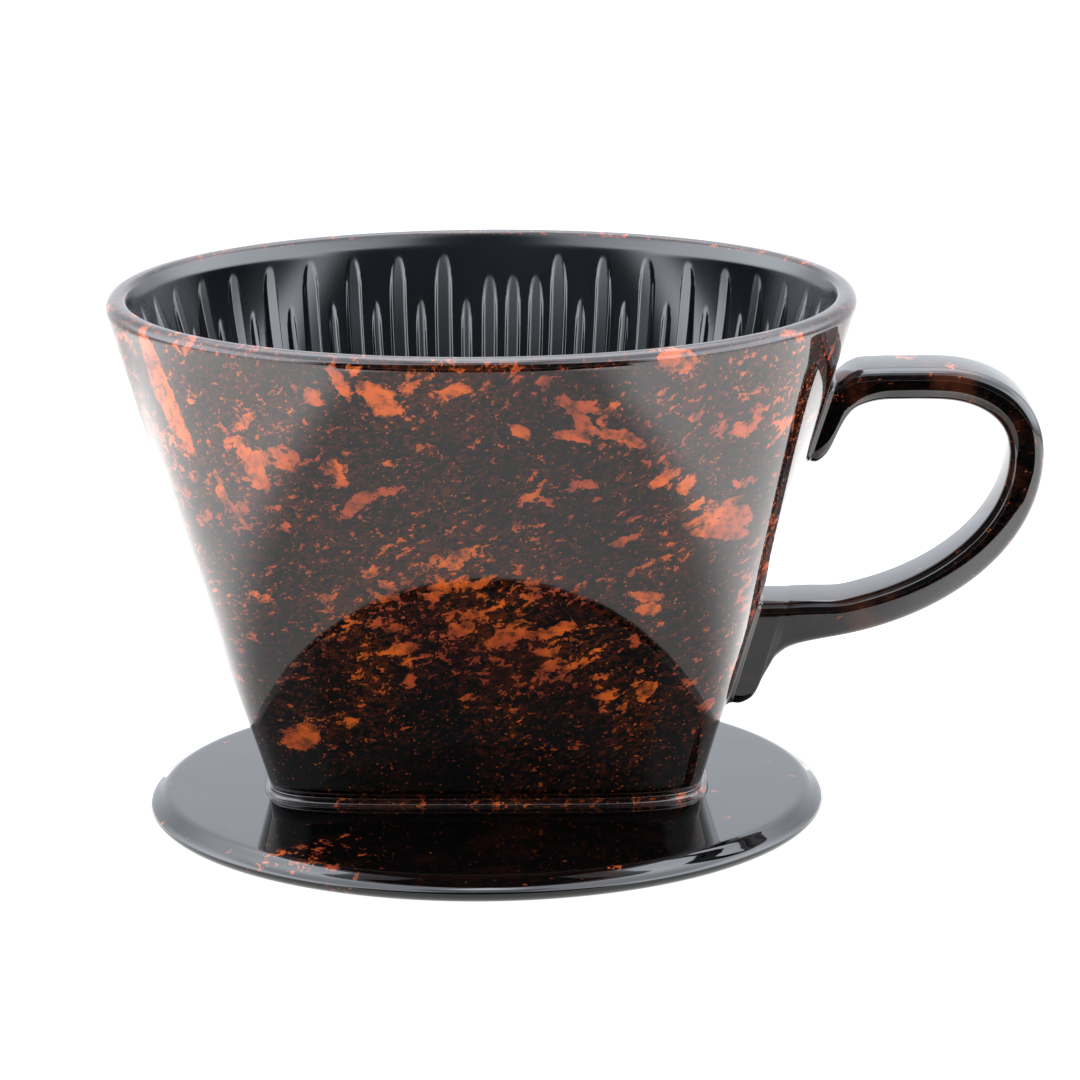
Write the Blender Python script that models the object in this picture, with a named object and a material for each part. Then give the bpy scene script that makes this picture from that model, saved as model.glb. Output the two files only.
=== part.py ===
"""Glazed ceramic pour-over coffee dripper: a wedge-shaped filter cup on a round plate, with a handle.

Metres, +Z up. +X points along the handle and +Y to the back. The origin is under the middle of the whole
object's box, on the surface that it stands on, so the cup's own axis is the vertical line x = CUP_X.
Each clay piece is pressed on its own and then luted to its neighbour with a bead or pad of slip.
"""

import math

import bmesh
import bpy
import numpy as np

GAP = 0.0003  # between pieces that touch

# Heights above the table.
RING_DROP = 0.0040
PLATE_THICKNESS = 0.0040
PLATE_MIDDLE = RING_DROP + PLATE_THICKNESS / 2
PLATE_TOP = RING_DROP + PLATE_THICKNESS
RIM_TOP = PLATE_MIDDLE + 0.0838

# The cup in plan: a long foot with rounded corners that opens out to an almost round rim. Each outline is a
# superellipse. Its exponent is 2 over a bend, which rises from foot to rim as this power of the height.
RIM_HALF_WIDTH = 0.0600
RIM_HALF_DEPTH = 0.0546
FOOT_HALF_WIDTH = 0.0348
FOOT_HALF_DEPTH = 0.0145
FOOT_BEND = 0.44
RIM_BEND = 0.97
BEND_POWER = 3
WAIST = 0.0008  # how far the sides sink, half way up, below a straight line from foot to rim
WALL = 0.0038  # measured level, across the sloping wall
LIP_OUTER = 0.0024
LIP_INNER = WALL - LIP_OUTER
SPIGOT_STEP = 0.0016  # the spigot under the cup is this much smaller than the foot
FLOOR = RING_DROP + 0.0055
FLOOR_FILLET = 0.0014
DRAIN_RADIUS = 0.0026
DRAIN_PITCH = 0.0170
DRAIN_CUTTER_LENGTH = 0.0300
OUTLINE_SAMPLES = 2881
WALL_SAMPLES = 400

# Filter ribs: one pitch is a crest and a groove, and a rib ends this far below the rim.
RIBS = 87
RIB_HEIGHT = 0.0011
RIB_FADE = 0.0020
LONG_RIB_TOP = 0.0026
MEDIUM_RIB_TOP = 0.0056
SHORT_RIB_TOP = 0.0098
INNER_WALL_HEIGHTS = (0.0500, 0.0240)

# The plate under the cup and the ring that centres it on a mug.
PLATE_RADIUS = 0.0551
RING_OUTER = 0.0380
RING_WALL = 0.0036
RING_EDGE = 0.0008
SEAT_RADIUS = RING_OUTER + GAP  # the ring sits in a shallow seat; outside it the plate bears on a mug
SEAT_DEPTH = GAP
SEAT_HEIGHT = RING_DROP + SEAT_DEPTH

# The strap handle, with heights above the plate's middle and x from the cup's axis.
STRAP_TOP = 0.0692
STRAP_TURN = 0.0575
STRAP_LOW = 0.0297
STRAP_REACH = 0.0873
STRAP_START = 0.0675
SHOULDER_START = 0.0720
BOW_START = 0.0470
SHOULDER_SQUARENESS = 2.25  # exponent of the superellipse that the shoulder is a quarter of
BOW_END = -74  # degrees below level
STRAP_HALF_BREADTH = 0.0066
STRAP_THIN = 0.0052
STRAP_THICK = 0.0060
STRAP_ROUNDING = 0.0019  # radius of the strap's long edges
CORNER_POINTS = 5
UPPER_TAIL = 0.0565
LOWER_TAIL = 0.0164
LOWER_ROOT_TOP = 0.0334
FACE_SHARES = (0.3, 0.65)
SLIP_PAD = 0.0005
SLIP_SPREAD = 0.0007
BEAD_WIDTH = 0.0015
BEAD_HEIGHT = 0.0013
BEAD_CLEAR = GAP + 0.0001
BEAD_CREST = 0.0002

RIGHT_EDGE = STRAP_REACH + STRAP_THICK / 2
CUP_X = (RIM_HALF_WIDTH - RIGHT_EDGE) / 2

ROUND_SIDES = 72
SHARP_ANGLE = 40
GLAZE_IOR = 1.5


def clear_scene():
    for thing in list(bpy.data.objects):
        bpy.data.objects.remove(thing, do_unlink=True)


def glaze(name, color, roughness):
    material = bpy.data.materials.new(name)
    material.use_nodes = True
    shader = material.node_tree.nodes["Principled BSDF"]
    shader.inputs["Base Color"].default_value = (*color, 1)
    shader.inputs["Roughness"].default_value = roughness
    shader.inputs["Metallic"].default_value = 0
    shader.inputs["IOR"].default_value = GLAZE_IOR
    material.diffuse_color = (*color, 1)
    return material


def loft(name, rings, material, endless=False):
    """A closed solid through rings of equally many points, capped at both ends or joined round."""
    mesh = bmesh.new()
    rows = [[mesh.verts.new(point) for point in ring] for ring in rings]
    pairs = list(zip(rows, rows[1:]))
    if endless:
        pairs.append((rows[-1], rows[0]))
    for low, high in pairs:
        for i in range(len(low)):
            j = (i + 1) % len(low)
            mesh.faces.new((low[i], low[j], high[j], high[i]))
    if not endless:
        mesh.faces.new(rows[0])
        mesh.faces.new(rows[-1])
    bmesh.ops.recalc_face_normals(mesh, faces=mesh.faces)
    data = bpy.data.meshes.new(name)
    mesh.to_mesh(data)
    mesh.free()
    data.shade_smooth()
    data.set_sharp_from_angle(angle=math.radians(SHARP_ANGLE))
    data.materials.append(material)
    made = bpy.data.objects.new(name, data)
    bpy.context.collection.objects.link(made)
    made.location.x = CUP_X
    return made


def outline(height, turn):
    """The cup's outer outline at a height: its points, and its unit normals there."""
    up = (height - PLATE_TOP) / (RIM_TOP - LIP_OUTER - PLATE_TOP)
    half_width = FOOT_HALF_WIDTH + up * (RIM_HALF_WIDTH - FOOT_HALF_WIDTH) - 4 * WAIST * up * (1 - up)
    half_depth = FOOT_HALF_DEPTH + up * (RIM_HALF_DEPTH - FOOT_HALF_DEPTH)
    power = 2 / (FOOT_BEND + (RIM_BEND - FOOT_BEND) * min(max(up, 0), 1) ** BEND_POWER)
    across, along = np.cos(turn), np.sin(turn)
    reach = (abs(across) ** power + abs(along) ** power) ** (-1 / power)
    points = np.stack([half_width * reach * across, half_depth * reach * along], axis=-1)
    normal_x = np.sign(across) * abs(reach * across) ** (power - 1) / half_width
    normal_y = np.sign(along) * abs(reach * along) ** (power - 1) / half_depth
    normals = np.stack([normal_x, normal_y], axis=-1)
    return points, normals / np.linalg.norm(normals, axis=-1, keepdims=True)


def even_turns(height, count):
    """Turns of count points spread evenly round the outline, from the middle of the back."""
    turn = math.pi / 2 + np.linspace(0, 2 * math.pi, OUTLINE_SAMPLES)
    points, _ = outline(height, turn)
    run = np.concatenate([[0], np.cumsum(np.linalg.norm(np.diff(points, axis=0), axis=1))])
    return np.interp(np.arange(count) / count * run[-1], run, turn)


def cup_ring(height, grow, count, shape_height=None):
    """The cup's outline at a height, or that of shape_height laid there, moved out by grow."""
    outline_height = height if shape_height is None else shape_height
    points, normals = outline(outline_height, even_turns(outline_height, count))
    return [(x, y, height) for x, y in points + np.reshape(grow, (-1, 1)) * normals]


def circle_ring(radius, height, count=ROUND_SIDES):
    turn = math.pi / 2 + np.arange(count) / count * 2 * math.pi
    return [(radius * math.cos(t), radius * math.sin(t), height) for t in turn]


def rib_top(index):
    """How far below the rim a rib ends: long and short ribs take turns, with a few medium ones."""
    if index in (0, RIBS - 1, RIBS - 2):
        return MEDIUM_RIB_TOP
    return LONG_RIB_TOP if index % 2 == 0 else SHORT_RIB_TOP


def rib_relief(depth):
    """Heights of crests and grooves, in turn round the wall, at a depth below the rim."""
    relief = np.zeros(2 * RIBS)
    for index in range(RIBS):
        relief[2 * index] = RIB_HEIGHT * min(max((depth - rib_top(index)) / RIB_FADE, 0), 1)
    return relief


def cup_body(material):
    count = 2 * RIBS
    lip_height = RIM_TOP - LIP_OUTER
    shoulder = PLATE_TOP + GAP
    rings = [
        cup_ring(SEAT_HEIGHT, -SPIGOT_STEP, count, PLATE_TOP),
        cup_ring(shoulder, -SPIGOT_STEP, count, PLATE_TOP),
    ]
    for share in (0, 0.2, 0.5, 1):
        rings.append(cup_ring(shoulder + share * (lip_height - shoulder), 0, count))
    for bend in (45, 90):
        turn = math.radians(bend)
        height = lip_height + LIP_OUTER * math.sin(turn)
        rings.append(cup_ring(height, LIP_OUTER * (math.cos(turn) - 1), count, lip_height))
    for bend in (45, 90):
        turn = math.radians(bend)
        height = RIM_TOP - LIP_INNER * (1 - math.cos(turn))
        rings.append(cup_ring(height, -LIP_OUTER - LIP_INNER * math.sin(turn), count, lip_height))
    for top in (LONG_RIB_TOP, MEDIUM_RIB_TOP, SHORT_RIB_TOP):
        for depth in (top, top + RIB_FADE):
            rings.append(cup_ring(RIM_TOP - depth, -WALL - rib_relief(depth), count))
    for height in INNER_WALL_HEIGHTS:
        rings.append(cup_ring(height, -WALL - rib_relief(RIM_TOP - height), count))
    rings.append(cup_ring(FLOOR + 2 * FLOOR_FILLET, -WALL - rib_relief(RIM_TOP) / 2, count))
    rings.append(cup_ring(FLOOR + FLOOR_FILLET, -WALL, count))
    rings.append(cup_ring(FLOOR, -WALL - FLOOR_FILLET, count))
    body = loft("cup_body", rings, material)
    cut_drains(body)
    return body


def cut_drains(body):
    """Three round holes in a line along the floor."""
    cutter = bmesh.new()
    for step in (-1, 0, 1):
        made = bmesh.ops.create_cone(
            cutter,
            cap_ends=True,
            segments=24,
            radius1=DRAIN_RADIUS,
            radius2=DRAIN_RADIUS,
            depth=DRAIN_CUTTER_LENGTH,
        )
        bmesh.ops.translate(cutter, verts=made["verts"], vec=(step * DRAIN_PITCH, 0, FLOOR))
    data = bpy.data.meshes.new("drain_cutter")
    cutter.to_mesh(data)
    cutter.free()
    tool = bpy.data.objects.new("drain_cutter", data)
    bpy.context.collection.objects.link(tool)
    tool.location.x = CUP_X
    tool.hide_render = True
    tool.display_type = "WIRE"
    cut = body.modifiers.new("drain_holes", "BOOLEAN")
    cut.operation = "DIFFERENCE"
    cut.object = tool


def base_plate(material):
    """A round plate with a rolled edge, an opening for the cup's spigot, and a seat for the ring."""
    roll = PLATE_THICKNESS / 2
    rings = []
    for bend in range(-90, 91, 45):
        turn = math.radians(bend)
        radius = PLATE_RADIUS - roll + roll * math.cos(turn)
        rings.append(circle_ring(radius, PLATE_MIDDLE + roll * math.sin(turn)))
    clear = GAP - SPIGOT_STEP
    rings.append(cup_ring(PLATE_TOP, clear, ROUND_SIDES, PLATE_TOP))
    rings.append(cup_ring(SEAT_HEIGHT, clear, ROUND_SIDES, PLATE_TOP))
    rings.append(circle_ring(SEAT_RADIUS, SEAT_HEIGHT))
    rings.append(circle_ring(SEAT_RADIUS, RING_DROP))
    return loft("base_plate", rings, material, endless=True)


def locating_ring(material):
    """The ring under the plate that keeps the dripper on a mug and carries it on a table."""
    top = SEAT_HEIGHT - GAP
    inner = RING_OUTER - RING_WALL
    profile = [
        (RING_OUTER, top),
        (RING_OUTER, RING_EDGE),
        (RING_OUTER - RING_EDGE, 0),
        (inner + RING_EDGE, 0),
        (inner, RING_EDGE),
        (inner, top),
    ]
    rings = [circle_ring(radius, height) for radius, height in profile]
    return loft("locating_ring", rings, material, endless=True)


def foot_slip_bead(material):
    """The bead of slip in the corner between the cup's foot and the plate."""
    low = PLATE_TOP + GAP
    rings = [
        cup_ring(low, BEAD_CLEAR, ROUND_SIDES),
        cup_ring(low, BEAD_WIDTH, ROUND_SIDES, low),
        cup_ring(low + BEAD_HEIGHT / 3, 0.7 * BEAD_WIDTH, ROUND_SIDES, low),
        cup_ring(low + BEAD_HEIGHT, BEAD_CLEAR + BEAD_CREST, ROUND_SIDES),
        cup_ring(low + BEAD_HEIGHT, BEAD_CLEAR, ROUND_SIDES),
    ]
    return loft("foot_slip_bead", rings, material, endless=True)


def wall_x(across, height):
    """Where the cup's outer wall lies on the handle's side, at a distance across from the middle."""
    turn = np.linspace(0, math.pi / 2, WALL_SAMPLES)
    points, _ = outline(height, turn)
    return float(np.interp(abs(across), points[:, 1], points[:, 0]))


def strap_stations():
    """The strap from the top joint round: middle points, unit vectors outwards, half thicknesses."""
    middle = [(STRAP_START, STRAP_TOP)]
    power = 2 / SHOULDER_SQUARENESS
    for bend in np.linspace(90, 0, 9)[:-1]:
        turn = math.radians(bend)
        x = SHOULDER_START + (STRAP_REACH - SHOULDER_START) * math.cos(turn) ** power
        middle.append((x, STRAP_TURN + (STRAP_TOP - STRAP_TURN) * math.sin(turn) ** power))
    for bend in np.linspace(0, BOW_END, 13):
        turn = math.radians(bend)
        x = BOW_START + (STRAP_REACH - BOW_START) * math.cos(turn)
        middle.append((x, STRAP_TURN + (STRAP_TURN - STRAP_LOW) * math.sin(turn)))
    middle = np.array(middle)
    along = np.gradient(middle, axis=0)
    along /= np.linalg.norm(along, axis=1)[:, None]
    outwards = np.stack([-along[:, 1], along[:, 0]], axis=1)
    half = np.linspace(STRAP_THIN, STRAP_THICK, len(middle)) / 2
    return middle, outwards, half


def strap_ring(upper, lower, half_breadth):
    """A rounded-rectangle ring between two points of the handle's outline in the XZ plane."""
    reach = math.dist(upper, lower) / 2
    rounding = min(STRAP_ROUNDING, 0.9 * reach, 0.9 * half_breadth)
    ring = []
    for corner in range(4):
        lift_side = 1 if corner in (0, 3) else -1
        across_side = 1 if corner in (0, 1) else -1
        for step in range(CORNER_POINTS):
            turn = math.pi / 2 * (corner + step / (CORNER_POINTS - 1))
            lift = lift_side * (reach - rounding) + rounding * math.cos(turn)
            across = across_side * (half_breadth - rounding) + rounding * math.sin(turn)
            share = (1 + lift / reach) / 2
            x = lower[0] + share * (upper[0] - lower[0])
            z = lower[1] + share * (upper[1] - lower[1])
            ring.append((x, across, z + PLATE_MIDDLE))
    return ring


def root_ring(outer, inner, away, half_breadth):
    """A ring that follows the curved wall at a distance from it, between two heights of the joint."""
    flat = strap_ring((0, outer), (0, inner), half_breadth)
    return [(wall_x(y, z) + away, y, z) for _, y, z in flat]


def root_face(outer, inner, away, half_breadth):
    """Rings that fill in a joint's face, so that the face follows the curved wall too."""
    middle, reach = (outer + inner) / 2, (outer - inner) / 2
    rings = []
    for share in FACE_SHARES:
        high, low = middle + share * reach, middle - share * reach
        rings.append(root_ring(high, low, away, share * half_breadth))
    return rings


# Each root of the handle, from the wall out: the distance from the wall, then the heights of the
# handle's outer and inner sides there, above the plate's middle.
ROOT_START = SLIP_PAD + 2 * GAP
UPPER_ROOT = [
    (ROOT_START, STRAP_TOP + 0.0001, UPPER_TAIL),
    (0.0024, STRAP_TOP + 0.0014, UPPER_TAIL),
    (0.0035, STRAP_TOP + 0.0021, UPPER_TAIL + 0.0013),
    (0.0040, STRAP_TOP + 0.0023, UPPER_TAIL + 0.0045),
    (0.0046, STRAP_TOP + 0.0024, UPPER_TAIL + 0.0070),
    (0.0058, STRAP_TOP + 0.0025, STRAP_TOP - 0.0039),
    (0.0087, STRAP_TOP + 0.0026, STRAP_TOP - 0.0028),
]
LOWER_ROOT = [
    (ROOT_START, LOWER_TAIL, LOWER_ROOT_TOP),
    (0.0027, LOWER_TAIL, LOWER_ROOT_TOP),
    (0.0043, LOWER_TAIL + 0.0012, LOWER_ROOT_TOP),
    (0.0048, LOWER_TAIL + 0.0037, LOWER_ROOT_TOP),
    (0.0053, LOWER_TAIL + 0.0056, LOWER_ROOT_TOP),
    (0.0061, LOWER_TAIL + 0.0079, LOWER_ROOT_TOP + 0.0001),
    (0.0087, LOWER_TAIL + 0.0098, LOWER_ROOT_TOP + 0.0002),
]


def handle_root(root):
    """Rings from the middle of the joint's face out to where the strap begins."""
    away, outer, inner = root[0]
    rings = root_face(outer, inner, away, STRAP_HALF_BREADTH)
    for away, outer, inner in root:
        rings.append(root_ring(outer, inner, away, STRAP_HALF_BREADTH))
    return rings


def handle(material):
    strap = []
    for point, outwards, half in zip(*strap_stations()):
        outer, inner = point + outwards * half, point - outwards * half
        strap.append(strap_ring(outer, inner, STRAP_HALF_BREADTH))
    rings = handle_root(UPPER_ROOT) + strap + handle_root(LOWER_ROOT)[::-1]
    return loft("handle", rings, material)


def slip_pad(name, root, material):
    """The layer of slip between a handle root and the wall, squeezed out a little all round."""
    _, outer, inner = root[0]
    up = math.copysign(SLIP_SPREAD, outer - inner)
    rings = root_face(outer, inner, GAP, STRAP_HALF_BREADTH)
    for away, share in ((GAP, 1), (GAP + SLIP_PAD / 2, 1), (GAP + SLIP_PAD, 0.4)):
        spread = share * up
        half_breadth = STRAP_HALF_BREADTH + abs(spread)
        rings.append(root_ring(outer + spread, inner - spread, away, half_breadth))
    rings += reversed(root_face(outer, inner, GAP + SLIP_PAD, STRAP_HALF_BREADTH))
    return loft(name, rings, material)


def main():
    clear_scene()
    black = (0.012, 0.011, 0.012)
    slip = (0.060, 0.022, 0.012)
    cup_body(glaze("cup_glaze", black, 0.04))
    base_plate(glaze("plate_glaze", black, 0.05))
    locating_ring(glaze("ring_glaze", black, 0.12))
    foot_slip_bead(glaze("foot_slip_glaze", slip, 0.05))
    handle(glaze("handle_glaze", black, 0.04))
    slip_pad("upper_handle_slip", UPPER_ROOT, glaze("upper_slip_glaze", slip, 0.05))
    slip_pad("lower_handle_slip", LOWER_ROOT, glaze("lower_slip_glaze", slip, 0.05))


main()
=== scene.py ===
"""Studio view of a glazed ceramic pour-over dripper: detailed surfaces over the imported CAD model."""

import math

import bmesh
import bpy
import numpy as np
from mathutils import Matrix, Vector


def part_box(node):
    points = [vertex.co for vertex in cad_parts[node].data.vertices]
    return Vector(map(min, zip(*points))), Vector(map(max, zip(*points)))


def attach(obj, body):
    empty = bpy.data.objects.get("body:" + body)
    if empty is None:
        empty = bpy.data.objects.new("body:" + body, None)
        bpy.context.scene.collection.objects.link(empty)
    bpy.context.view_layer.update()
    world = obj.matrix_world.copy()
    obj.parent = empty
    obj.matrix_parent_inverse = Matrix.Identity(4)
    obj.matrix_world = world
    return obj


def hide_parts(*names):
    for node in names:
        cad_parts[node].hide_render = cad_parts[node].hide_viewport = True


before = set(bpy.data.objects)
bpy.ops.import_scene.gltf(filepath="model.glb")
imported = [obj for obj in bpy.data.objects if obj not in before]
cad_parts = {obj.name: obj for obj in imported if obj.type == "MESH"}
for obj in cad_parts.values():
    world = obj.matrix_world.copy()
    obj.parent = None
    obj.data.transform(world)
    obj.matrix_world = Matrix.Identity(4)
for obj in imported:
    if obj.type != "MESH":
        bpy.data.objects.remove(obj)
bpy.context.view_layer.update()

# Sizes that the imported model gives.
PLATE_LOW, PLATE_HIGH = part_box("base_plate")
CUP_LOW, CUP_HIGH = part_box("cup_body")
RING_LOW, RING_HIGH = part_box("locating_ring")
CUP_X = (PLATE_LOW.x + PLATE_HIGH.x) / 2
PLATE_RADIUS = (PLATE_HIGH.x - PLATE_LOW.x) / 2
RING_DROP = PLATE_LOW.z
PLATE_TOP = PLATE_HIGH.z
PLATE_MIDDLE = (PLATE_LOW.z + PLATE_HIGH.z) / 2
RIM_TOP = CUP_HIGH.z
RIM_HALF_WIDTH = (CUP_HIGH.x - CUP_LOW.x) / 2
RIM_HALF_DEPTH = (CUP_HIGH.y - CUP_LOW.y) / 2
RING_OUTER = (RING_HIGH.x - RING_LOW.x) / 2

# The cup, as in the CAD source.
FOOT_HALF_WIDTH = 0.0348
FOOT_HALF_DEPTH = 0.0145
FOOT_BEND = 0.44
RIM_BEND = 0.97
BEND_POWER = 3
WAIST = 0.0008
WALL = 0.0038
RIM_LEVEL = RIM_TOP - 0.0024
SPIGOT_STEP = 0.0016
FLOOR = RING_DROP + 0.0055
FLOOR_FILLET = 0.0022
DRAIN_RADIUS = 0.0026
DRAIN_PITCH = 0.0170
DRAIN_SIDES = 48
DRAIN_CUT = 0.0300
SAME_PLACE = 0.000001  # points closer than this, left by the cut, are merged
OUTLINE_SAMPLES = 2881
WALL_SAMPLES = 400
GAP = 0.0003
FOOT_SINK = 0.0002

# How closely the cup's rings follow each other: the outer wall's, then the inner wall's by depth.
WALL_RINGS = 25
LIP_MARGIN = 0.0005
FINE_STEP = 0.0004
FINE_DEPTH = 0.0135
COARSE_STEP = 0.0012
COARSE_DEPTH = 0.0300
LOW_RINGS = 14

# The lip: an outer and an inner rounding with a narrow flat between.
LIP_OUTER = 0.00165
LIP_INNER = 0.00105
ROUNDING_RINGS = 9

# Ribs: how deep each kind starts, how high and how broad it grows.
RIBS = 87
RIB_COLUMNS = 20
MEDIUM_RIBS = (0, RIBS - 1, RIBS - 2)
RIB_TOPS = {"long": 0.0036, "medium": 0.0070, "short": 0.0106}
RIB_BREADTHS = {"long": 0.70, "medium": 0.60, "short": 0.40}
RIB_FLANK = 0.13
RIB_HEIGHT = 0.0017
RIB_GROWTH = 0.0300
RIB_WIDENING = 0.0025

ROUND_SIDES = 288


# ---------------------------------------------------------------- shapes


def outline(height, turn):
    """The cup's outer outline at a height, a superellipse: its points, and its unit normals there."""
    up = (height - PLATE_TOP) / (RIM_LEVEL - PLATE_TOP)
    half_width = FOOT_HALF_WIDTH + up * (RIM_HALF_WIDTH - FOOT_HALF_WIDTH) - 4 * WAIST * up * (1 - up)
    half_depth = FOOT_HALF_DEPTH + up * (RIM_HALF_DEPTH - FOOT_HALF_DEPTH)
    power = 2 / (FOOT_BEND + (RIM_BEND - FOOT_BEND) * min(max(up, 0), 1) ** BEND_POWER)
    across, along = np.cos(turn), np.sin(turn)
    reach = (abs(across) ** power + abs(along) ** power) ** (-1 / power)
    points = np.stack([half_width * reach * across, half_depth * reach * along], axis=-1)
    normal_x = np.sign(across) * abs(reach * across) ** (power - 1) / half_width
    normal_y = np.sign(along) * abs(reach * along) ** (power - 1) / half_depth
    normals = np.stack([normal_x, normal_y], axis=-1)
    return points, normals / np.linalg.norm(normals, axis=-1, keepdims=True)


def even_turns(height, count):
    """Turns of count points spread evenly round the outline, from the middle of the back."""
    turn = math.pi / 2 + np.linspace(0, 2 * math.pi, OUTLINE_SAMPLES)
    points, _ = outline(height, turn)
    run = np.concatenate([[0], np.cumsum(np.linalg.norm(np.diff(points, axis=0), axis=1))])
    return np.interp(np.arange(count) / count * run[-1], run, turn)


def cup_ring(height, grow, turn, shape_height=None):
    """The cup's outline at a height, or that of shape_height laid there, moved out by grow."""
    points, normals = outline(height if shape_height is None else shape_height, turn)
    plan = points + np.reshape(grow, (-1, 1)) * normals
    return np.column_stack([plan, np.full(len(plan), height)])


def circle_ring(radius, height, count=ROUND_SIDES):
    turn = math.pi / 2 + np.arange(count) / count * 2 * math.pi
    return np.column_stack([radius * np.cos(turn), radius * np.sin(turn), np.full(count, height)])


def skin(name, rings, materials, node, endless=False, rows_of=None):
    """A smooth closed piece through rings of equally many points. It stands for a CAD node.

    rows_of gives the material index of each band of faces between two rings.
    """
    rows = np.array(rings)
    total, count = rows.shape[:2]
    index = np.arange(total * count).reshape(total, count)
    low = index if endless else index[:-1]
    high = np.roll(index, -1, axis=0) if endless else index[1:]
    bands = np.stack([low, np.roll(low, -1, axis=1), np.roll(high, -1, axis=1), high], axis=-1)
    faces = bands.reshape(-1, 4).tolist()
    if not endless:
        faces += [index[0][::-1].tolist(), index[-1].tolist()]
    data = bpy.data.meshes.new(name)
    data.from_pydata(rows.reshape(-1, 3).tolist(), [], faces)
    shell = bmesh.new()
    shell.from_mesh(data)
    if rows_of is not None:
        shell.faces.ensure_lookup_table()
        for band, material_index in enumerate(rows_of):
            for column in range(count):
                shell.faces[band * count + column].material_index = material_index
    bmesh.ops.recalc_face_normals(shell, faces=shell.faces)
    shell.to_mesh(data)
    shell.free()
    data.shade_smooth()
    for material in materials:
        data.materials.append(material)
    piece = bpy.data.objects.new(name, data)
    bpy.context.collection.objects.link(piece)
    piece.location.x = CUP_X
    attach(piece, "root")
    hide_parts(node)
    return piece


def rib_kind(index):
    if index in MEDIUM_RIBS:
        return "medium"
    return "long" if index % 2 == 0 else "short"


def rib_relief(depth):
    """How far the ribs stand in from the wall, at a depth below the rim, for every column."""
    relief = np.zeros(RIBS * RIB_COLUMNS)
    offset = (np.arange(RIB_COLUMNS) - RIB_COLUMNS / 2) / RIB_COLUMNS
    for index in range(RIBS):
        kind = rib_kind(index)
        down = depth - RIB_TOPS[kind]
        if down <= 0:
            continue
        grown = min(down / RIB_GROWTH, 1)
        crest = RIB_HEIGHT * (1 - (1 - grown) ** 2)
        breadth = RIB_BREADTHS[kind] * (1 - math.exp(-down / RIB_WIDENING)) ** 0.5
        flank = np.clip((breadth / 2 - np.abs(offset)) / (RIB_FLANK / 2), 0, 1)
        profile = flank * (2 - flank)
        columns = (index * RIB_COLUMNS + np.arange(RIB_COLUMNS) - RIB_COLUMNS // 2) % len(relief)
        relief[columns] += crest * profile
    return relief


def lip_rings(turn):
    """Rings over the lip, from where it leaves the outer wall to where it meets the inner wall."""
    at_top, normal = outline(RIM_TOP, turn)
    below, _ = outline(RIM_TOP - LIP_OUTER, turn)
    slope = np.sum((at_top - below) * normal, axis=-1) / LIP_OUTER
    lean = np.arctan(slope)
    outer_centre = -LIP_OUTER * (slope + 1 / np.cos(lean))
    inner_centre = -WALL - LIP_INNER * (slope - 1 / np.cos(lean))
    level = np.full_like(lean, math.pi / 2)
    rings = []
    for radius, centre, start, end in (
        (LIP_OUTER, outer_centre, -lean, level),
        (LIP_INNER, inner_centre, level, math.pi - lean),
    ):
        for share in np.linspace(0, 1, ROUNDING_RINGS):
            bend = start + share * (end - start)
            out = centre + radius * np.cos(bend)
            plan = at_top + out[:, None] * normal
            height = RIM_TOP - radius + radius * np.sin(bend)
            rings.append(np.column_stack([plan, height]))
    return rings


def cup(outside, inside):
    count = RIBS * RIB_COLUMNS
    rim_turn = even_turns(RIM_LEVEL, count)
    foot_turn = even_turns(PLATE_TOP, count)
    foot = PLATE_TOP - FOOT_SINK
    rings = [
        cup_ring(RING_DROP + GAP, -SPIGOT_STEP, foot_turn, PLATE_TOP),
        cup_ring(foot, -SPIGOT_STEP, foot_turn, PLATE_TOP),
    ]
    lip = lip_rings(rim_turn)
    wall_top = lip[0][:, 2].min() - LIP_MARGIN
    for share in np.linspace(0, 1, WALL_RINGS)[:-1]:
        height = foot + share * (wall_top - PLATE_TOP)
        rings.append(cup_ring(height, 0, even_turns(height, count)))
    rings += lip
    outer_bands = len(rings) - 1
    top_depth = RIM_TOP - lip[-1][:, 2].min()
    last = RIM_TOP - FLOOR - 2 * FLOOR_FILLET
    depths = np.concatenate(
        [
            np.arange(top_depth + FINE_STEP, FINE_DEPTH, FINE_STEP),
            np.arange(FINE_DEPTH, COARSE_DEPTH, COARSE_STEP),
            np.linspace(COARSE_DEPTH, last, LOW_RINGS),
        ]
    )
    for depth in depths:
        height = RIM_TOP - depth
        turn = even_turns(height, count)
        rings.append(cup_ring(height, -WALL - rib_relief(depth), turn))
    for share in (0.25, 0.5, 0.75, 1):
        bend = share * math.pi / 2
        height = FLOOR + FLOOR_FILLET * (1 - math.sin(bend))
        fade = 1 - share
        turn = even_turns(height, count)
        grow = -WALL - rib_relief(last) * fade - FLOOR_FILLET * (1 - math.cos(bend))
        rings.append(cup_ring(height, grow, turn))
    bands = [0] * outer_bands + [1] * (len(rings) - 1 - outer_bands)
    piece = skin("cup", rings, [outside, inside], "cup_body", rows_of=bands)
    piece.data.polygons[len(piece.data.polygons) - 1].material_index = 1
    cut_drains(piece)
    return piece


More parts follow.
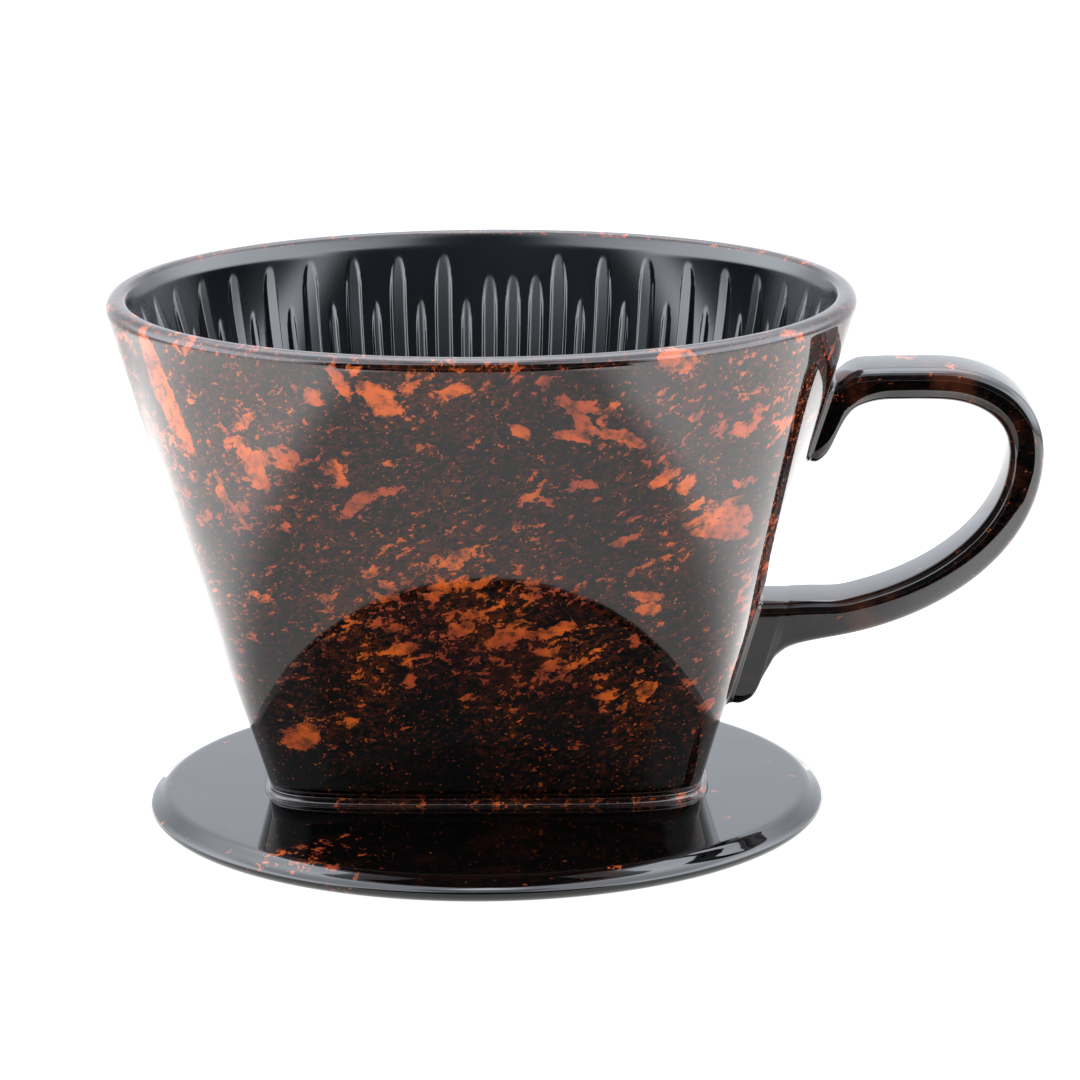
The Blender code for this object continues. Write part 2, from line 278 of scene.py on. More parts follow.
def cut_drains(piece):
    """Cuts the three drain holes through the cup's floor, applies the cut and keeps the floor flat."""
    cutter = bmesh.new()
    for step in (-1, 0, 1):
        made = bmesh.ops.create_cone(
            cutter,
            cap_ends=True,
            segments=DRAIN_SIDES,
            radius1=DRAIN_RADIUS,
            radius2=DRAIN_RADIUS,
            depth=DRAIN_CUT,
        )
        bmesh.ops.translate(cutter, verts=made["verts"], vec=(step * DRAIN_PITCH, 0, FLOOR))
    data = bpy.data.meshes.new("drain_cutter")
    cutter.to_mesh(data)
    cutter.free()
    tool = bpy.data.objects.new("drain_cutter", data)
    bpy.context.collection.objects.link(tool)
    tool.location.x = CUP_X
    cut = piece.modifiers.new("drains", "BOOLEAN")
    cut.operation = "DIFFERENCE"
    cut.object = tool
    bpy.context.view_layer.update()
    graph = bpy.context.evaluated_depsgraph_get()
    mesh = bpy.data.meshes.new_from_object(piece.evaluated_get(graph))
    clean = bmesh.new()
    clean.from_mesh(mesh)
    bmesh.ops.remove_doubles(clean, verts=clean.verts, dist=SAME_PLACE)
    clean.to_mesh(mesh)
    clean.free()
    piece.modifiers.clear()
    piece.data = mesh
    for face in mesh.polygons:
        if face.center.z < FLOOR + 0.0001 and abs(face.normal.z) > 0.999:
            face.use_smooth = False
    bpy.data.objects.remove(tool)


# The plate's edge in section: radius short of the plate's own, and height above its middle.
PLATE_EDGE = [
    (0.0060, 0.00200),
    (0.0036, 0.00198),
    (0.0029, 0.00190),
    (0.0024, 0.00172),
    (0.0019, 0.00140),
    (0.0014, 0.00108),
    (0.0008, 0.00072),
    (0.0003, 0.00030),
    (0.0000, -0.00020),
    (0.0002, -0.00080),
    (0.0007, -0.00135),
    (0.0014, -0.00175),
    (0.0022, -0.00196),
    (0.0032, -0.00200),
]
EDGE_STEPS = 3
# How far the plate goes in under the cup, its flat collar round the foot, and how far in under it
# the ring's outer face the flat underside starts.
PLATE_TUCK = 0.0006
PLATE_COLLAR = 0.0020
RING_LAP = 0.0010


def smooth_line(points, per):
    """A smooth curve through points, with per steps between each two."""
    points = np.array(points, float)
    padded = np.concatenate([[2 * points[0] - points[1]], points, [2 * points[-1] - points[-2]]])
    made = []
    for i in range(1, len(padded) - 2):
        before, start, end, after = padded[i - 1 : i + 3]
        for t in np.arange(per) / per:
            made.append(
                0.5
                * (
                    2 * start
                    + (end - before) * t
                    + (2 * before - 5 * start + 4 * end - after) * t**2
                    + (3 * start - before - 3 * end + after) * t**3
                )
            )
    made.append(points[-1])
    return np.array(made)


def plate(material):
    inner = even_turns(PLATE_TOP, ROUND_SIDES)
    rings = [
        cup_ring(PLATE_TOP, -PLATE_TUCK, inner, PLATE_TOP),
        cup_ring(PLATE_TOP, PLATE_COLLAR, inner, PLATE_TOP),
    ]
    for short, height in smooth_line(PLATE_EDGE, EDGE_STEPS):
        rings.append(circle_ring(PLATE_RADIUS - short, PLATE_MIDDLE + height))
    rings.append(circle_ring(RING_OUTER - RING_LAP, RING_DROP))
    rings.append(cup_ring(RING_DROP, -PLATE_TUCK, inner, PLATE_TOP))
    return skin("plate", rings, [material], "base_plate", endless=True)


def ring(material):
    """The locating ring, with soft edges and a fillet into the plate."""
    section = [
        (0.0016, RING_DROP + 0.0002),
        (0.0006, RING_DROP - 0.0002),
        (0.0001, RING_DROP - 0.0009),
        (0.0000, 0.0016),
        (-0.0002, 0.0006),
        (-0.0009, 0.0000),
        (-0.0018, 0.0000),
        (-0.0027, 0.0000),
        (-0.0034, 0.0006),
        (-0.0036, 0.0016),
        (-0.0037, RING_DROP - 0.0009),
        (-0.0042, RING_DROP - 0.0002),
        (-0.0052, RING_DROP + 0.0002),
    ]
    line = smooth_line(section, EDGE_STEPS)
    rings = [circle_ring(RING_OUTER + out, max(height, 0)) for out, height in line]
    return skin("ring", rings, [material], "locating_ring", endless=True)


# The fillets of slip: how far each reaches out from its corner, how far it tucks in behind, and
# the thin skin that it leaves on the wall.
BEAD_REACH = 0.0012
BEAD_TUCK = 0.0004
ROOT_REACH = 0.0011
ROOT_TUCK = 0.0006
ROOT_SINK = 0.0003
ROOT_RINGS = 7
ROOT_SKIN = 0.00003
SLIP_SKIN = 0.00002


def foot_bead(material):
    """The fillet of slip between the cup's foot and the plate."""
    turn = even_turns(PLATE_TOP, ROUND_SIDES * 2)
    low, high = PLATE_TOP - FOOT_SINK, PLATE_TOP + BEAD_REACH
    rings = [
        cup_ring(low, -BEAD_TUCK, turn, PLATE_TOP),
        cup_ring(low, BEAD_REACH, turn, PLATE_TOP),
    ]
    for share in np.linspace(0, 1, ROUNDING_RINGS):
        bend = share * math.pi / 2
        height = PLATE_TOP + BEAD_REACH * (1 - math.cos(bend))
        out = BEAD_REACH * (1 - math.sin(bend)) + SLIP_SKIN
        rings.append(cup_ring(height, out, turn, height))
    rings.append(cup_ring(high, -BEAD_TUCK, turn, high))
    return skin("foot_bead", rings, [material], "foot_slip_bead", endless=True)


# The strap handle, as in the CAD source: heights above the plate's middle, x from the cup's axis.
STRAP_TOP = 0.0692
STRAP_TURN = 0.0575
STRAP_LOW = 0.0297
STRAP_REACH = 0.0873
STRAP_START = 0.0675
SHOULDER_START = 0.0720
BOW_START = 0.0470
SHOULDER_SQUARENESS = 2.25
BOW_END = -74
SHOULDER_POINTS = 9
BOW_POINTS = 13
STRAP_STEPS = 4
STRAP_HALF_BREADTH = 0.0066
STRAP_THIN = 0.0052
STRAP_THICK = 0.0060
STRAP_ROUNDING = 0.0019
MOST_ROUND = 0.9
CORNER_POINTS = 10
UPPER_TAIL = 0.0565
LOWER_TAIL = 0.0164
LOWER_ROOT_TOP = 0.0334
UPPER_ROOT = [
    (-0.0006, STRAP_TOP + 0.0001, UPPER_TAIL),
    (0.0011, STRAP_TOP + 0.0001, UPPER_TAIL),
    (0.0024, STRAP_TOP + 0.0014, UPPER_TAIL),
    (0.0035, STRAP_TOP + 0.0021, UPPER_TAIL + 0.0013),
    (0.0040, STRAP_TOP + 0.0023, UPPER_TAIL + 0.0045),
    (0.0046, STRAP_TOP + 0.0024, UPPER_TAIL + 0.0070),
    (0.0058, STRAP_TOP + 0.0025, STRAP_TOP - 0.0039),
    (0.0087, STRAP_TOP + 0.0026, STRAP_TOP - 0.0028),
]
LOWER_ROOT = [
    (-0.0006, LOWER_TAIL, LOWER_ROOT_TOP),
    (0.0011, LOWER_TAIL, LOWER_ROOT_TOP),
    (0.0027, LOWER_TAIL, LOWER_ROOT_TOP),
    (0.0043, LOWER_TAIL + 0.0012, LOWER_ROOT_TOP),
    (0.0048, LOWER_TAIL + 0.0037, LOWER_ROOT_TOP),
    (0.0053, LOWER_TAIL + 0.0056, LOWER_ROOT_TOP),
    (0.0061, LOWER_TAIL + 0.0079, LOWER_ROOT_TOP + 0.0001),
    (0.0087, LOWER_TAIL + 0.0098, LOWER_ROOT_TOP + 0.0002),
]


def wall_x(across, height):
    """Where the cup's outer wall lies on the handle's side, at a distance across from the middle."""
    turn = np.linspace(0, math.pi / 2, WALL_SAMPLES)
    points, _ = outline(height, turn)
    return float(np.interp(abs(across), points[:, 1], points[:, 0]))


def strap_stations():
    """The strap from the top joint round: middle points, unit vectors outwards, half thicknesses."""
    middle = [(STRAP_START, STRAP_TOP)]
    power = 2 / SHOULDER_SQUARENESS
    for bend in np.linspace(90, 0, SHOULDER_POINTS)[:-1]:
        turn = math.radians(bend)
        x = SHOULDER_START + (STRAP_REACH - SHOULDER_START) * math.cos(turn) ** power
        middle.append((x, STRAP_TURN + (STRAP_TOP - STRAP_TURN) * math.sin(turn) ** power))
    for bend in np.linspace(0, BOW_END, BOW_POINTS):
        turn = math.radians(bend)
        x = BOW_START + (STRAP_REACH - BOW_START) * math.cos(turn)
        middle.append((x, STRAP_TURN + (STRAP_TURN - STRAP_LOW) * math.sin(turn)))
    middle = np.array(middle)
    along = np.gradient(middle, axis=0)
    along /= np.linalg.norm(along, axis=1)[:, None]
    outwards = np.stack([-along[:, 1], along[:, 0]], axis=1)
    half = np.linspace(STRAP_THIN, STRAP_THICK, len(middle)) / 2
    return middle, outwards, half


def strap_ring(upper, lower, half_breadth):
    """A rounded-rectangle ring between two points of the handle's outline in the XZ plane."""
    reach = math.dist(upper, lower) / 2
    rounding = min(STRAP_ROUNDING, MOST_ROUND * reach, MOST_ROUND * half_breadth)
    ring = []
    for corner in range(4):
        lift_side = 1 if corner in (0, 3) else -1
        across_side = 1 if corner in (0, 1) else -1
        for step in range(CORNER_POINTS):
            turn = math.pi / 2 * (corner + step / (CORNER_POINTS - 1))
            lift = lift_side * (reach - rounding) + rounding * math.cos(turn)
            across = across_side * (half_breadth - rounding) + rounding * math.sin(turn)
            share = (1 + lift / reach) / 2
            x = lower[0] + share * (upper[0] - lower[0])
            z = lower[1] + share * (upper[1] - lower[1])
            ring.append((x, across, z + PLATE_MIDDLE))
    return ring


def root_ring(outer, inner, away, half_breadth):
    """A ring that follows the curved wall at a distance from it, between two heights of the joint."""
    flat = strap_ring((0, outer), (0, inner), half_breadth)
    return [(wall_x(y, z) + away, y, z) for _, y, z in flat]


def handle(material):
    rows = [root_ring(outer, inner, away, STRAP_HALF_BREADTH) for away, outer, inner in UPPER_ROOT]
    for point, outwards, half in zip(*strap_stations()):
        outer, inner = point + outwards * half, point - outwards * half
        rows.append(strap_ring(outer, inner, STRAP_HALF_BREADTH))
    for away, outer, inner in LOWER_ROOT[::-1]:
        rows.append(root_ring(outer, inner, away, STRAP_HALF_BREADTH))
    rows = smooth_line(rows, STRAP_STEPS)
    return skin("handle_strap", rows, [material], "handle")


def handle_fillet(name, node, root, material):
    """The slip squeezed out round a handle root, as a fillet between the root and the wall."""
    _, outer, inner = root[0]
    up = math.copysign(1, outer - inner)

    def spread_ring(spread, away):
        """The root's outline, made larger all round by spread, at a distance from the wall."""
        breadth = STRAP_HALF_BREADTH + spread
        return root_ring(outer + up * spread, inner - up * spread, away, breadth)

    rings = [spread_ring(-ROOT_TUCK, -ROOT_SINK), spread_ring(ROOT_REACH, -ROOT_SINK)]
    for share in np.linspace(0, 1, ROOT_RINGS):
        bend = share * math.pi / 2
        spread = ROOT_REACH * (1 - math.sin(bend)) + ROOT_SKIN
        away = ROOT_REACH * (1 - math.cos(bend)) + SLIP_SKIN
        rings.append(spread_ring(spread, away))
    rings.append(spread_ring(-ROOT_TUCK, ROOT_REACH))
    return skin(name, rings, [material], node, endless=True)


# ---------------------------------------------------------------- materials


class Graph:
    """Short ways to add shader nodes to a new material."""

    def __init__(self, name):
        self.material = bpy.data.materials.new(name)
        self.material.use_nodes = True
        self.tree = self.material.node_tree
        self.shader = self.tree.nodes["Principled BSDF"]
        self.shader.inputs["IOR"].default_value = 1.5
        self.place = self.node("ShaderNodeTexCoord").outputs["Object"]

    def node(self, kind):
        return self.tree.nodes.new(kind)

    def feed(self, socket, value):
        """Links an output to a socket, or sets a plain number or colour on it."""
        if isinstance(value, bpy.types.NodeSocket):
            self.tree.links.new(value, socket)
        else:
            socket.default_value = value

    def math(self, operation, first, second=0.0, third=0.0):
        made = self.node("ShaderNodeMath")
        made.operation = operation
        for socket, value in zip(made.inputs, (first, second, third)):
            self.feed(socket, value)
        return made.outputs[0]

    def step(self, value, start, end):
        """0 below start, 1 above end, and smooth between."""
        made = self.node("ShaderNodeMapRange")
        made.interpolation_type = "SMOOTHSTEP"
        self.feed(made.inputs["Value"], value)
        self.feed(made.inputs["From Min"], start)
        self.feed(made.inputs["From Max"], end)
        return made.outputs["Result"]

    def noise(self, place, scale, detail=2.0, roughness=0.5, output="Fac"):
        made = self.node("ShaderNodeTexNoise")
        self.feed(made.inputs["Vector"], place)
        made.inputs["Scale"].default_value = scale
        made.inputs["Detail"].default_value = detail
        made.inputs["Roughness"].default_value = roughness
        return made.outputs[output]

    def frame(self, place, middle=(0, 0, 0), turn=(0, 0, 0), size=(1, 1, 1)):
        """Place as seen from a box of a given middle, turn in degrees and size."""
        made = self.node("ShaderNodeMapping")
        made.vector_type = "TEXTURE"
        self.feed(made.inputs["Vector"], place)
        made.inputs["Location"].default_value = middle
        made.inputs["Rotation"].default_value = [math.radians(angle) for angle in turn]
        made.inputs["Scale"].default_value = size
        return made.outputs[0]

    def vector(self, operation, first, second=None, scale=None, output=0):
        made = self.node("ShaderNodeVectorMath")
        made.operation = operation
        self.feed(made.inputs[0], first)
        if second is not None:
            self.feed(made.inputs[1], second)
        if scale is not None:
            self.feed(made.inputs["Scale"], scale)
        return made.outputs[output]

    def mix(self, share, first, second):
        made = self.node("ShaderNodeMix")
        made.data_type = "RGBA"
        self.feed(made.inputs["Factor"], share)
        for name, value in (("A", first), ("B", second)):
            socket = next(s for s in made.inputs if s.name == name and s.type == "RGBA")
            self.feed(socket, value if isinstance(value, bpy.types.NodeSocket) else (*value, 1))
        return next(s for s in made.outputs if s.type == "RGBA")

    def finish(self, color, roughness, height, depth):
        """Connects the shader. Height is from 0 to 1, and depth is in metres."""
        self.feed(self.shader.inputs["Base Color"], color)
        self.feed(self.shader.inputs["Roughness"], roughness)
        bump = self.node("ShaderNodeBump")
        bump.inputs["Distance"].default_value = depth
        self.feed(bump.inputs["Height"], height)
        self.tree.links.new(bump.outputs[0], self.shader.inputs["Normal"])
        return self.material


# The larger splashes, in millimetres: across from the cup's axis, height, length, breadth, and
# how many degrees the length rises to the right.
SMOOTH_SPLASHES = [
    (-48.5, 80, 24, 6.0, -60),
    (-34, 70, 8, 3.2, -69),
    (37, 62, 12, 2.2, 22),
    (38, 58, 12, 2.6, -14),
    (40, 60, 8, 5.0, 0),
    (-38, 64, 12, 1.3, -65),
]
RAGGED_SPLASHES = [
    (-29, 72, 6, 3, 20),
    (-14, 83, 9, 4.6, -40),
    (-20, 86, 8, 2.6, -67),
    (-20.5, 70, 4.5, 2.2, -65),
    (-24, 83, 4, 3, -60),
    (-18, 65, 9, 2.6, 40),
    (16, 82, 9, 2.6, -16),
    (16.5, 79, 8, 2.8, -56),
    (15.5, 76.5, 7, 2, -10),
    (22.5, 76, 10.5, 2.6, -23),
    (7, 77.5, 4, 2.4, -27),
    (29, 68.5, 6.5, 2.6, 35),
    (32.5, 67, 4, 2.6, 65),
    (26, 47.5, 6.5, 2.4, -6),
    (26.5, 45, 5, 2.6, -20),
    (23, 58, 5, 1.6, 22),
    (17.5, 68, 4, 2.2, -6),
    (31, 88, 8, 4.5, -9),
    (12, 41.5, 8, 2.2, 25),
    (-2.5, 42, 5.5, 2.8, 40),
    (-12.5, 38, 7, 2, 20),
    (-29, 21, 8, 5, 20),
    (26.5, 30, 5, 3, 45),
]
# Broad weak drifts of spatter, in the same terms.
DRIFTS = [
    (-4, 68, 24, 9, 34),
    (9, 68, 20, 9, 40),
    (42, 78, 14, 9, -60),
    (0, 36, 50, 22, 0),
    (-47, 84, 18, 12, -50),
]
SPLASH_DEPTH = 0.006


def front_place(across, height):
    """A point of the cup's front wall, and how far the wall has turned there from facing front."""
    turn = np.linspace(-math.pi, 0, WALL_SAMPLES)
    points, normals = outline(min(height, RIM_LEVEL), turn)
    nearest = int(np.argmin(abs(points[:, 0] - across)))
    away = math.degrees(math.atan2(normals[nearest, 0], -normals[nearest, 1]))
    return (points[nearest, 0], points[nearest, 1], height), away


def splash_field(graph, place, splashes):
    """1 in the middle of the nearest splash, 0 at its edge and less beyond."""
    field = None
    for across, height, length, breadth, rise in splashes:
        middle, away = front_place(across / 1000, height / 1000)
        size = (length / 2000, SPLASH_DEPTH, breadth / 2000)
        local = graph.frame(place, middle, (0, -rise, away), size)
        inside = graph.math("SUBTRACT", 1.0, graph.vector("LENGTH", local, output="Value"))
        field = inside if field is None else graph.math("MAXIMUM", field, inside)
    return field


# The scale of each noise in the glaze, in cells to the metre, and how far it frays the splashes.
REGION_SCALE = 38
BLOTCH_SCALE = 330
FLECK_SCALE = 900
DUST_SCALE = 1300
HAZE_SCALE = 1500
RAGGED_SCALE = 260
MARK_EDGE_SCALE = 800
DEPTH_SCALE = 420
WARMTH_SCALE = 70
PATCH_SCALE = 95
RAGGED_REACH = 0.0030

# The level of noise at which each kind starts to show, and that at which it shows in full.
BLOTCH_EDGE = (0.635, 0.670)
FLECK_EDGE = (0.640, 0.690)
HAZE_EDGE = (0.47, 0.62)
ROUGH_MARK_EDGE = (0.02, 0.22)
SMOOTH_MARK_EDGE = (0.0, 0.16)
# How strongly each of the finer kinds colours the glaze, of 1.
FLECK_SHARE = 0.75
DUST_SHARE = 0.60
HAZE_SHARE = 0.10
# Relief of the glazes, in metres.
SPLASHED_RELIEF = 0.00007
PLAIN_RELIEF = 0.00006

BLACK = (0.0008, 0.0008, 0.0009)
BROWN = (0.045, 0.0120, 0.0050)
RUST = (0.200, 0.0310, 0.0100)
ORANGE = (0.350, 0.0640, 0.0080)


def splashed_glaze(name, plenty=1.0, marks=False, fade=None, tint=0.0, near=None):
    """Gloss black glaze with splashes of rust and orange, from fine spatter up to the large marks.

    plenty scales how much spatter there is. fade gives the heights between which it comes in.
    tint is how far the black turns to brown in patches. near is a place with more spatter round it,
    and how far that reaches.
    """
    graph = Graph(name)
    place = graph.place
    jitter = graph.noise(place, RAGGED_SCALE, 4, 0.6, "Color")
    jitter = graph.vector("SUBTRACT", jitter, (0.5, 0.5, 0.5))
    ragged = graph.vector("ADD", place, graph.vector("SCALE", jitter, scale=RAGGED_REACH))
    region = graph.step(graph.noise(place, REGION_SCALE, 3, 0.55), 0.36, 0.66)
    slanted = graph.frame(ragged, turn=(0, -24, 0), size=(1.9, 1.9, 1))
    steeper = graph.frame(ragged, (0.3, 0.1, 0), (0, -30, 0), (1.6, 1.6, 1))
    blotch = graph.noise(slanted, BLOTCH_SCALE, 5, 0.62)
    fleck = graph.noise(steeper, FLECK_SCALE, 3, 0.6)
    gain = graph.math("MULTIPLY_ADD", region, 0.085 * plenty, 0.06 * plenty - 0.055)
    if marks:
        drift = graph.step(splash_field(graph, place, DRIFTS), 0.0, 0.7)
        gain = graph.math("MULTIPLY_ADD", drift, 0.030, gain)
    if fade is not None:
        height = graph.node("ShaderNodeSeparateXYZ")
        graph.feed(height.inputs[0], place)
        low = graph.math("SUBTRACT", 1.0, graph.step(height.outputs["Z"], *fade))
        gain = graph.math("MULTIPLY_ADD", low, -0.09, gain)
    if near is not None:
        middle, reach = near
        away = graph.vector("DISTANCE", place, middle, output="Value")
        more = graph.math("MULTIPLY_ADD", graph.step(away, 0, reach), -0.12, 0.12)
        gain = graph.math("ADD", gain, more)
    blotch = graph.step(graph.math("ADD", blotch, gain), *BLOTCH_EDGE)
    fleck = graph.step(graph.math("ADD", fleck, gain), *FLECK_EDGE)
    amount = graph.math("MAXIMUM", blotch, graph.math("MULTIPLY", fleck, FLECK_SHARE))
    cells = graph.node("ShaderNodeTexVoronoi")
    graph.feed(cells.inputs["Vector"], place)
    cells.inputs["Scale"].default_value = DUST_SCALE
    chosen = graph.node("ShaderNodeSeparateXYZ")
    graph.feed(chosen.inputs[0], cells.outputs["Color"])
    size = graph.math("MULTIPLY", graph.math("POWER", chosen.outputs["X"], 2.0), 0.30 * plenty)
    dust = graph.math("LESS_THAN", cells.outputs["Distance"], size)
    amount = graph.math("MAXIMUM", amount, graph.math("MULTIPLY", dust, DUST_SHARE))
    haze = graph.noise(slanted, HAZE_SCALE, 3, 0.7)
    haze = graph.step(graph.math("ADD", haze, gain), *HAZE_EDGE)
    amount = graph.math("MAXIMUM", amount, graph.math("MULTIPLY", haze, HAZE_SHARE * plenty))
    if marks:
        edge = graph.math("MULTIPLY_ADD", graph.noise(ragged, MARK_EDGE_SCALE, 4, 0.65), 1.4, -0.70)
        rough_marks = graph.math("ADD", splash_field(graph, ragged, RAGGED_SPLASHES), edge)
        smooth_marks = splash_field(graph, ragged, SMOOTH_SPLASHES)
        smooth_marks = graph.math("MULTIPLY_ADD", edge, 0.25, smooth_marks)
        amount = graph.math("MAXIMUM", amount, graph.step(rough_marks, *ROUGH_MARK_EDGE))
        amount = graph.math("MAXIMUM", amount, graph.step(smooth_marks, *SMOOTH_MARK_EDGE))
    depth = graph.noise(place, DEPTH_SCALE, 4, 0.7)
    warm = graph.step(graph.noise(place, WARMTH_SCALE, 2), 0.40, 0.62)
    bright = graph.mix(warm, RUST, ORANGE)
    lit = graph.mix(graph.step(depth, 0.30, 0.62), BROWN, bright)
    patch = graph.step(graph.noise(place, PATCH_SCALE, 3, 0.6), 0.50, 0.72)
    ground = graph.mix(graph.math("MULTIPLY", patch, tint), BLACK, BROWN)
    thick = graph.math("MULTIPLY_ADD", graph.step(depth, 0.3, 0.5), 0.35, 0.65)
    color = graph.mix(graph.math("MULTIPLY", amount, thick), ground, lit)
    grain = graph.noise(place, 150, 3)
    roughness = graph.math("MULTIPLY_ADD", grain, 0.03, 0.018)
    roughness = graph.math("MULTIPLY_ADD", amount, 0.035, roughness)
    swell = graph.noise(place, 42, 2)
    relief = graph.math("MULTIPLY_ADD", amount, 0.05, swell)
    return graph.finish(color, roughness, relief, SPLASHED_RELIEF)


def plain_glaze(name, deep, pale, roughness):
    """Gloss glaze without splashes: it pools a little darker and thins a little paler."""
    graph = Graph(name)
    pool = graph.step(graph.noise(graph.place, 60, 3, 0.6), 0.3, 0.7)
    color = graph.mix(pool, deep, pale)
    gloss = graph.math("MULTIPLY_ADD", graph.noise(graph.place, 160, 3), 0.03, roughness)
    return graph.finish(color, gloss, graph.noise(graph.place, 45, 2), PLAIN_RELIEF)


# ---------------------------------------------------------------- studio


def stage_object(name, data):
    thing = bpy.data.objects.new(name, data)
    bpy.context.collection.objects.link(thing)
    return thing


def glow(name, color, strength):
    """A matt black surface that glows."""
    material = bpy.data.materials.new(name)
    material.use_nodes = True
    shader = material.node_tree.nodes["Principled BSDF"]
    shader.inputs["Base Color"].default_value = (0, 0, 0, 1)
    shader.inputs["Roughness"].default_value = 1
    shader.inputs["Specular IOR Level"].default_value = 0
    shader.inputs["Emission Color"].default_value = (*color, 1)
    shader.inputs["Emission Strength"].default_value = strength
    return material


def lit_paper():
    """White paper that glows, as if lit from both sides, with a painted pool of light: it glows
    brighter there beside the object.
    """
    graph = Graph("floor_paper")
    split = graph.node("ShaderNodeSeparateXYZ")
    graph.feed(split.inputs[0], graph.place)
    aside = graph.math("ABSOLUTE", graph.math("SUBTRACT", split.outputs["X"], CUP_X))
    shader = graph.shader
    shader.inputs["Base Color"].default_value = (0.08, 0.08, 0.08, 1)
    shader.inputs["Roughness"].default_value = 1
    shader.inputs["Specular IOR Level"].default_value = 0
    shader.inputs["Emission Color"].default_value = (1, 1, 1, 1)
    # Painted pool of light: off to both sides of the object, in front of it and a little behind, the
    # paper glows 3.6 times as bright.
    near = graph.math("SUBTRACT", 1.0, graph.step(split.outputs["Y"], 0.10, 0.25))
    lift = graph.math("MULTIPLY", graph.step(aside, 0.055, 0.100), near)
    strength = graph.math("MULTIPLY_ADD", lift, 2.6, 1.0)
    graph.feed(shader.inputs["Emission Strength"], strength)
    return graph.material


def floor():
    mesh = bmesh.new()
    bmesh.ops.create_circle(mesh, cap_ends=True, segments=96, radius=6)
    data = bpy.data.meshes.new("floor")
    mesh.to_mesh(data)
    mesh.free()
    data.materials.append(lit_paper())
    return stage_object("floor", data)


def only_reflected(thing):
    """The thing shows in reflections, but not to the camera, and casts no shadow."""
    thing.visible_camera = False
    thing.visible_diffuse = False
    thing.visible_shadow = False
    thing.visible_transmission = False


def front_flag():
    """A black card on the floor in front, outside the picture, as the dark opening of a light tent."""
    data = bpy.data.meshes.new("front_flag")
    near, near_half, far, far_half, lift = -0.21, 0.16, -3.0, 2.4, 0.0005
    corners = [(-near_half, near), (near_half, near), (far_half, far), (-far_half, far)]
    data.from_pydata([(x, y, lift) for x, y in corners], [], [(0, 1, 2, 3)])
    data.materials.append(glow("flag_black", (0, 0, 0), 0))
    flag = stage_object("front_flag", data)
    only_reflected(flag)
    return flag


def backdrop():
    """A pale shell far round the set, which only the camera sees."""
    mesh = bmesh.new()
    bmesh.ops.create_uvsphere(mesh, u_segments=48, v_segments=24, radius=5.5)
    data = bpy.data.meshes.new("backdrop")
    mesh.to_mesh(data)
    mesh.free()
    data.materials.append(glow("backdrop_paper", (1, 1, 1), 1.0))
    shell = stage_object("backdrop", data)
    shell.visible_diffuse = False
    shell.visible_glossy = False
    shell.visible_shadow = False
    shell.visible_transmission = False
    return shell


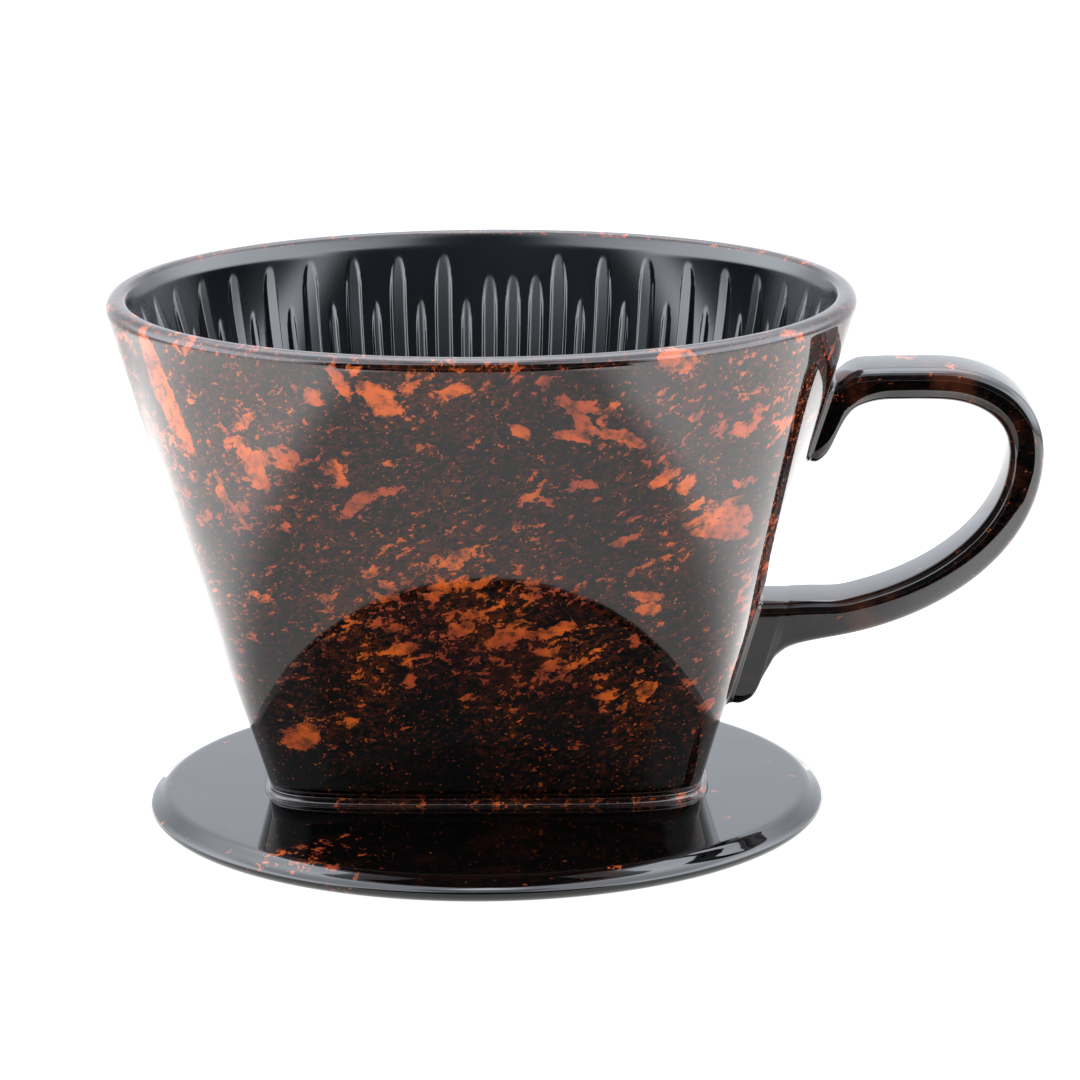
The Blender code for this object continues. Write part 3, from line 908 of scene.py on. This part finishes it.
def tent():
    """World light as in a light tent: bright overhead, pale sides, and a dark opening in front.

    Angles are in degrees: aside from straight in front, and rise above level.
    """
    world = bpy.data.worlds.new("light_tent")
    bpy.context.scene.world = world
    world.use_nodes = True
    tree = world.node_tree
    tree.nodes.clear()
    nodes, links = tree.nodes, tree.links

    def math_node(operation, *inputs):
        node = nodes.new("ShaderNodeMath")
        node.operation = operation
        for socket, value in zip(node.inputs, inputs):
            if isinstance(value, (int, float)):
                socket.default_value = value
            else:
                links.new(value, socket)
        return node.outputs[0]

    def step(value, start, end):
        node = nodes.new("ShaderNodeMapRange")
        node.interpolation_type = "SMOOTHSTEP"
        links.new(value, node.inputs["Value"])
        node.inputs["From Min"].default_value = start
        node.inputs["From Max"].default_value = end
        return node.outputs["Result"]

    def mix(share, first, second):
        gap = math_node("SUBTRACT", second, first)
        return math_node("MULTIPLY_ADD", share, gap, first)

    place = nodes.new("ShaderNodeTexCoord")
    split = nodes.new("ShaderNodeSeparateXYZ")
    links.new(place.outputs["Generated"], split.inputs[0])
    x, y, z = split.outputs
    forward = math_node("MULTIPLY", y, -1.0)
    aside = math_node("ARCTAN2", math_node("ABSOLUTE", x), forward)
    aside = math_node("MULTIPLY", aside, 180 / math.pi)
    rise = math_node("MULTIPLY", math_node("ARCSINE", z), 180 / math.pi)
    behind = step(aside, 95, 150)
    sides = math_node("MULTIPLY_ADD", step(rise, 0, 14), 5.3, 2.2)
    sides = math_node("MULTIPLY_ADD", step(rise, 32, 46), -3.6, sides)
    tipped = math_node("MULTIPLY_ADD", aside, 0.35, rise)
    back = math_node("MULTIPLY_ADD", step(rise, 22, 72), 6.4, 1.45)
    front = math_node("MULTIPLY_ADD", step(tipped, 47, 54), 1.9, 0.08)
    front = math_node("MULTIPLY_ADD", step(rise, 70, 79), 7.1, front)
    narrow = step(tipped, 44, 51)
    wide = step(rise, 56, 62)
    edge = math_node("MULTIPLY_ADD", wide, 20.0, math_node("MULTIPLY_ADD", narrow, -28.0, 38.0))
    beside = step(math_node("SUBTRACT", aside, edge), 0, 18)
    light = mix(behind, mix(beside, front, sides), back)
    background = nodes.new("ShaderNodeBackground")
    background.inputs["Color"].default_value = (0.93, 0.98, 1.06, 1)
    links.new(light, background.inputs["Strength"])
    output = nodes.new("ShaderNodeOutputWorld")
    links.new(background.outputs[0], output.inputs[0])


def camera():
    """The view: how the camera stands round the object, and what it looks at."""
    azimuth, elevation, roll = math.radians(1.082), math.radians(13.834), math.radians(-0.462)
    distance = 0.8505
    target = Vector((CUP_X + 0.009065, 0, PLATE_MIDDLE + 0.042441))
    back = Vector(
        (
            math.sin(azimuth) * math.cos(elevation),
            -math.cos(azimuth) * math.cos(elevation),
            math.sin(elevation),
        )
    )
    right = Vector((math.cos(azimuth), math.sin(azimuth), 0))
    up = back.cross(right)
    rolled = right * math.cos(roll) + up * math.sin(roll)
    lens = bpy.data.cameras.new("view")
    lens.sensor_width = 36
    lens.lens = 174.8
    lens.clip_start = 0.05
    lens.clip_end = 50
    eye = bpy.data.objects.new("view", lens)
    bpy.context.collection.objects.link(eye)
    turn = Matrix((rolled, back.cross(rolled), back)).transposed()
    eye.matrix_world = Matrix.Translation(target + back * distance) @ turn.to_4x4()
    bpy.context.scene.camera = eye


def main():
    outside = splashed_glaze("cup_glaze_outside", 1.0, True, (0.012, 0.032), 0.06)
    inside = plain_glaze("cup_glaze_inside", (0.0010, 0.0017, 0.0025), (0.0018, 0.0032, 0.0048), 0.15)
    plate_spatter = (Vector((-0.026, -0.043, PLATE_MIDDLE)), 0.020)
    edge = splashed_glaze("plate_glaze_outside", 0.02, tint=0.06, near=plate_spatter)
    strap = splashed_glaze("handle_glaze_outside", 0.30, tint=0.60)
    slip = splashed_glaze("slip_glaze_outside", 0.75, tint=0.35)
    under = plain_glaze("ring_glaze_outside", (0.0010, 0.0010, 0.0012), (0.0040, 0.0028, 0.0022), 0.08)
    cup(outside, inside)
    plate(edge)
    ring(under)
    foot_bead(slip)
    handle(strap)
    handle_fillet("upper_fillet", "upper_handle_slip", UPPER_ROOT, strap)
    handle_fillet("lower_fillet", "lower_handle_slip", LOWER_ROOT, strap)
    floor()
    front_flag()
    backdrop()
    tent()
    camera()
    bpy.context.scene.view_settings.view_transform = "Standard"


main()
